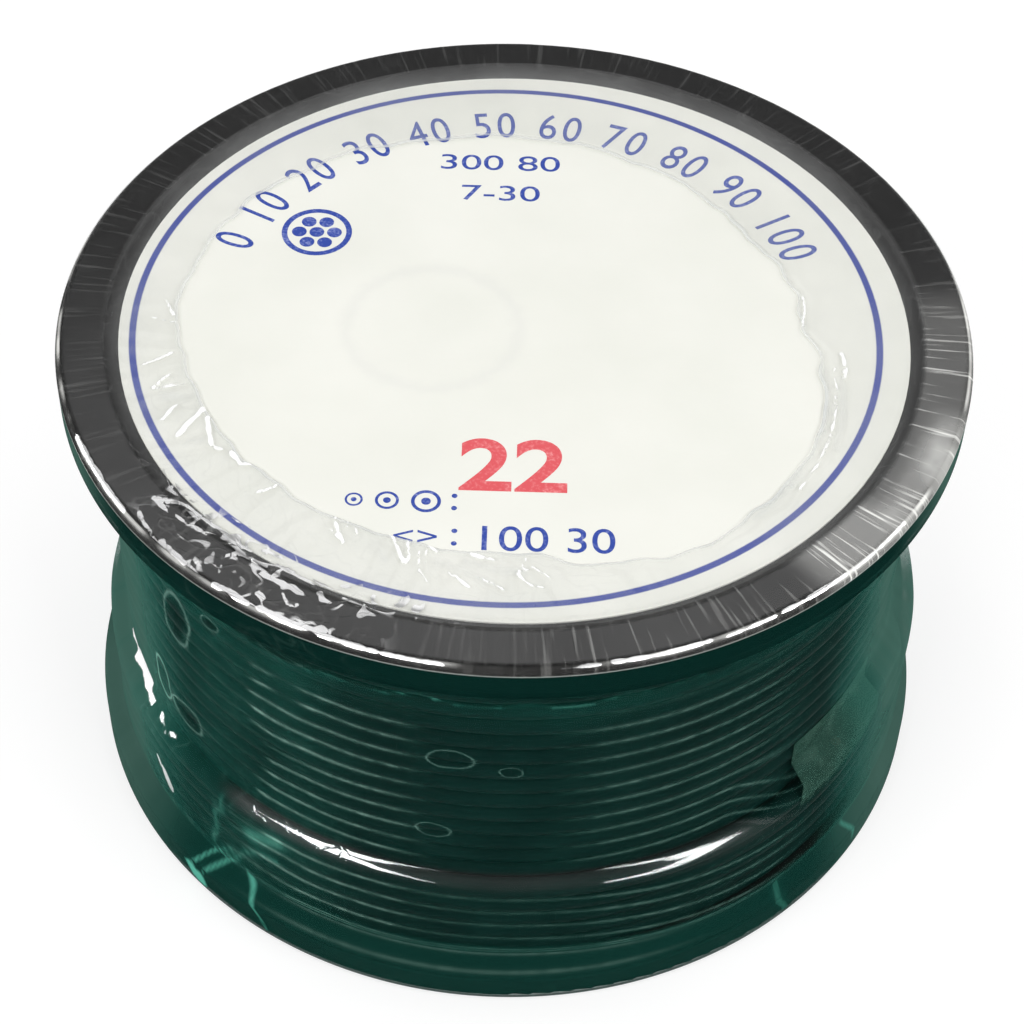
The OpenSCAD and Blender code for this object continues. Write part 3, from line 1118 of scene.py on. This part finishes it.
def sleeve_film(azimuth, height):
    """Radius, height and facts of the film round the winding."""
    contact = contact_height(azimuth)
    if height > contact:
        return film_under_flange(azimuth, height, contact)
    slack = 0.6 * ease((azimuth + 88) / 34) * (1 - ease((azimuth - 20) / 60))
    half = STEP_HALF * (1 + slack / (last_r - wound_r))
    step = ease((step_height(azimuth) + half - height) / (2 * half))
    over_tape = within(azimuth, CUT_ANGLE, 12, 11) * ease((finish_z + 6.4 - height) / 2.6)
    base = between(wound_r, last_r + slack, max(step, over_tape)) + film_gap
    if height > flare_z:
        loose = max(within(azimuth, 206, 18, 10), within(azimuth, -14, 28, 12))
        on_step = 4 * step * (1 - step) * (1 - loose)
        return film_on_turns(azimuth, height, contact, base, step, on_step)
    share = (flare_z - height) / (flare_z - inner_low)
    radius = between(base, film_r, ease(share) * 0.5 + share * 0.5)
    # A painted highlight line along the lower flange's upper edge at the front
    return radius, height, facts(
        0.0008, 0.01 + 0.05 * left_side(azimuth) + folds(azimuth, height), 0.0,
        crest_highlight=0.16 * within(azimuth, 265, 16, 20), turn=0.5 + (share - 0.72) / 0.7)


SLEEVE_ROWS = spread((
    (inner_high, 16), (contact_z - 1, 22), (finish_z + 2.2, 16),
    (finish_z - 1.7, 12), (flare_z, 8), (inner_low, 0),
))


def bottom_film(azimuth, row):
    """Radius, height and facts. Rows run from 0 down the side to 1, round the edge to
    2, in under the rim to 3, up the slope to 4 and to the opening."""
    low_foot = rim_low + RECESS - FILM_CLEAR - FILM_T
    opening = LOW_OPENING_R + 0.5 * unevenness(azimuth, 0, 6, 14)
    if row <= 1:
        height = between(inner_low, corner, row)
        return film_r, height, facts(0.0008, 0.02 + folds(azimuth, height), 0.02)
    if row <= 2:
        out, down = edge_of_rim(2 - row)
        return film_r - corner + out, down, facts(0.001, 0.02, 0.02)
    if row <= 3:
        return between(film_r - corner, slope_top_r, row - 2), 0, facts(0.07, 0.01, 0.2)
    if row <= 4:
        share = row - 3
        return between(slope_top_r, slope_foot_r, share), low_foot * ease(share), facts(
            0.07, 0.02, 0.4)
    radius = between(slope_foot_r, opening, row - 4)
    dip = 0.12 * max(unevenness(azimuth, radius * 0.3, 2.5, 15), 0) * ease((row - 4) * 3)
    return radius, low_foot - dip, facts(0.06, 0.03, 0.3)


BOTTOM_ROWS = spread(((0, 5), (1, 8), (2, 8), (3, 5), (4, 16), (5, 0)))


def lay_film(name, rows, place, columns, nodes):
    """Rolls a flat sheet round the axis, each point of it laid where place says."""
    bm = bmesh.new()
    last = len(rows) - 1
    bmesh.ops.create_grid(bm, x_segments=columns, y_segments=last, size=1)
    layers = [bm.verts.layers.float.new(fact) for fact in FILM_FACTS]
    for vert in bm.verts:
        azimuth = vert.co.x * 180
        row = rows[round((vert.co.y + 1) / 2 * last)]
        radius, height, here = place(azimuth, row)
        turn = math.radians(azimuth)
        vert.co = (radius * math.cos(turn), radius * math.sin(turn), height)
        for layer, fact in zip(layers, here):
            vert[layer] = fact
    bmesh.ops.remove_doubles(bm, verts=bm.verts, dist=0.0001)
    bmesh.ops.recalc_face_normals(bm, faces=bm.faces)
    face = max(bm.faces, key=lambda f: f.calc_center_median().xy.length)
    if face.normal.dot(face.calc_center_median()) < 0:
        bmesh.ops.reverse_faces(bm, faces=bm.faces)
    piece = finish_piece(name, bm, [FILM, FILM_INSIDE], nodes)
    wall = piece.modifiers.new("wall", "SOLIDIFY")
    wall.thickness = FILM_T * MM
    wall.offset = -1
    wall.material_offset = 1
    wall.material_offset_rim = 1
    return piece


# --- The label's print ---

INK_T = 0.01        # thickness of the ink, which lies under the film


def printed(name, body, height, middle, ink, angle=0.0, stretch=1.0, weight=0.0):
    """A word of print whose figures are `height` tall, centred on a place of the label."""
    curve = bpy.data.curves.new(name, "FONT")
    curve.body = body
    curve.offset = weight
    curve.extrude = 0.02
    holder = new_object(name, curve)
    bpy.context.view_layer.update()
    shape = holder.evaluated_get(bpy.context.evaluated_depsgraph_get())
    mesh = bpy.data.meshes.new_from_object(shape)
    bpy.data.objects.remove(holder)
    bm = bmesh.new()
    bm.from_mesh(mesh)
    bmesh.ops.remove_doubles(bm, verts=bm.verts, dist=0.0001)
    low = Vector(min(v.co[i] for v in bm.verts) for i in range(3))
    high = Vector(max(v.co[i] for v in bm.verts) for i in range(3))
    size = height / (high.y - low.y)
    spot = Matrix.Translation((middle[0], middle[1], label_high))
    spot @= Matrix.Rotation(math.radians(angle), 4, "Z")
    spot @= Matrix.Diagonal((size * stretch, size, INK_T / (high.z - low.z), 1))
    spot @= Matrix.Translation(-Vector(((low.x + high.x) / 2, (low.y + high.y) / 2, low.z)))
    bmesh.ops.transform(bm, verts=bm.verts, matrix=spot)
    return finish_piece(name, bm, [ink], [], smooth=False)


SCALE_R = 0.685             # middle of the row of figures, as a share of the film's reach
SCALE_START, SCALE_END = 159.0, 22.0
FIGURE_H = 3.0
SPACE = 0.75                # a space between two numbers, in figures


def print_scale():
    """A row of plain numbers, 0 to 100 in tens, along an arc under the ring."""
    places, place = [], 0.0
    for value in range(0, 101, 10):
        for figure in str(value):
            places.append((place, figure))
            place += 1
        place += SPACE
    last = places[-1][0]
    for number, (place, figure) in enumerate(places):
        azimuth = between(SCALE_START, SCALE_END, place / last)
        spot = toward(azimuth, 0) * SCALE_R * film_r
        printed(f"print_scale_{number:02d}", figure, FIGURE_H, spot, BLUE,
                azimuth - 90, 0.72)


def print_disc(name, middle, radius, ink, hole=0.0):
    """A printed dot, or a ring where it has a hole."""
    bm = bmesh.new()
    bmesh.ops.create_circle(bm, cap_ends=not hole, segments=40, radius=radius)
    if hole:
        bmesh.ops.create_circle(bm, segments=40, radius=hole)
        bmesh.ops.bridge_loops(bm, edges=bm.edges)
    bottom = bmesh.ops.extrude_face_region(bm, geom=bm.faces[:])["geom"]
    lifted = [item for item in bottom if isinstance(item, bmesh.types.BMVert)]
    bmesh.ops.translate(bm, verts=lifted, vec=(0, 0, INK_T))
    bmesh.ops.recalc_face_normals(bm, faces=bm.faces)
    bmesh.ops.translate(bm, verts=bm.verts, vec=(middle[0], middle[1], label_high))
    finish_piece(name, bm, [ink], [], smooth=False)


def print_section(middle, radius):
    """A wire seen end on: its insulation as a ring, and seven strands as dots."""
    print_disc("print_section_ring", middle, radius, BLUE, radius * 0.84)
    print_disc("print_section_strand_0", middle, radius * 0.21, BLUE)
    for number in range(6):
        spot = Vector((*middle, 0)) + toward(60 * number, 0) * radius * 0.5
        print_disc(f"print_section_strand_{number + 1}", spot.xy, radius * 0.21, BLUE)


SECTION_PLACE = (-0.456, 0.28)      # this and other places: shares of the film's reach
SECTION_R = 2.6
MARKS_UP = -0.545
LENGTH_UP = -0.642
MARKS = ((-0.32, 0.6), (-0.252, 0.8), (-0.172, 1.0))    # place across, and radius
TYPE_WORDS = (      # name, text, height, place and stretch
    ("rating", "300 80", 1.75, (-0.045, 0.543), 1.35),
    ("strands", "7-30", 1.75, (-0.042, 0.434), 1.35),
    ("gauge", "22", 4.9, (0.005, -0.436), 1.12),
)
LENGTH_WORDS = (    # the same
    ("colon_1", ":", 1.5, (-0.114, MARKS_UP), 1.0),
    ("arrow", "<>", 1.1, (-0.19, LENGTH_UP), 1.2),
    ("colon_2", ":", 1.5, (-0.111, LENGTH_UP), 1.0),
    ("length", "100 30", 2.2, (0.08, LENGTH_UP), 1.1),
)


def on_label(across, up):
    return across * film_r, up * film_r


def print_words(words):
    for name, body, height, place, stretch in words:
        ink, weight = (RED, 0.02) if name == "gauge" else (BLUE, 0.0)
        printed(f"print_{name}", body, height, on_label(*place), ink,
                stretch=stretch, weight=weight)


def print_marks():
    """Three rings, each with a dot, as small pictures of wires."""
    for number, (across, size) in enumerate(MARKS):
        spot = on_label(across, MARKS_UP)
        print_disc(f"print_wire_{number}_ring", spot, size, BLUE, size * 0.76)
        print_disc(f"print_wire_{number}_dot", spot, size * 0.32, BLUE)


def print_label():
    print_scale()
    print_section(on_label(*SECTION_PLACE), SECTION_R)
    print_words(TYPE_WORDS)
    print_marks()
    print_words(LENGTH_WORDS)


# --- Making it all ---

add_camera()
for lamp_facts in LAMPS:
    add_lamp(*lamp_facts)
light_room()
lay_floor()
bpy.context.scene.view_settings.view_transform = "Standard"

PLASTIC = flange_finish()
PVC = wire_finish()
PAPER = paper_finish()
COPPER = strand_finish()
FILM = film_finish()
FILM_INSIDE = film_inside_finish()
BLUE = ink_finish("blue_ink", BLUE_INK, (0.45, 0.5, 0.8, 1))
RED = ink_finish("red_ink", RED_INK, (0.95, 0.5, 0.5, 1))

CAD_FINISHES = {
    "upper_flange": PLASTIC, "lower_flange": PLASTIC, "drum": drum_finish(),
    "label": PAPER, "wire_start_end": PVC, "start_strands": COPPER,
    "finish_strands": COPPER, "hold_down_tape": tape_finish(),
}
for node, material in CAD_FINISHES.items():
    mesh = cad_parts[node].data
    mesh.materials.clear()
    mesh.materials.append(material)

for number in range(1, FULL_LAYERS):
    wind_layer(number, sides=8, steps=60)
wind_layer(FULL_LAYERS, sides=18, steps=120)
wind_layer(FULL_LAYERS + 1, sides=20, steps=120)
lay_finish_end()

lay_film("film_sleeve", SLEEVE_ROWS, sleeve_film, COLUMNS, ["shrink_film"])
lay_film("film_top", TOP_ROWS, top_film, COLUMNS, ["shrink_film"])
lay_film("film_bottom", BOTTOM_ROWS, bottom_film, LOW_COLUMNS, ["shrink_film"])
print_label()
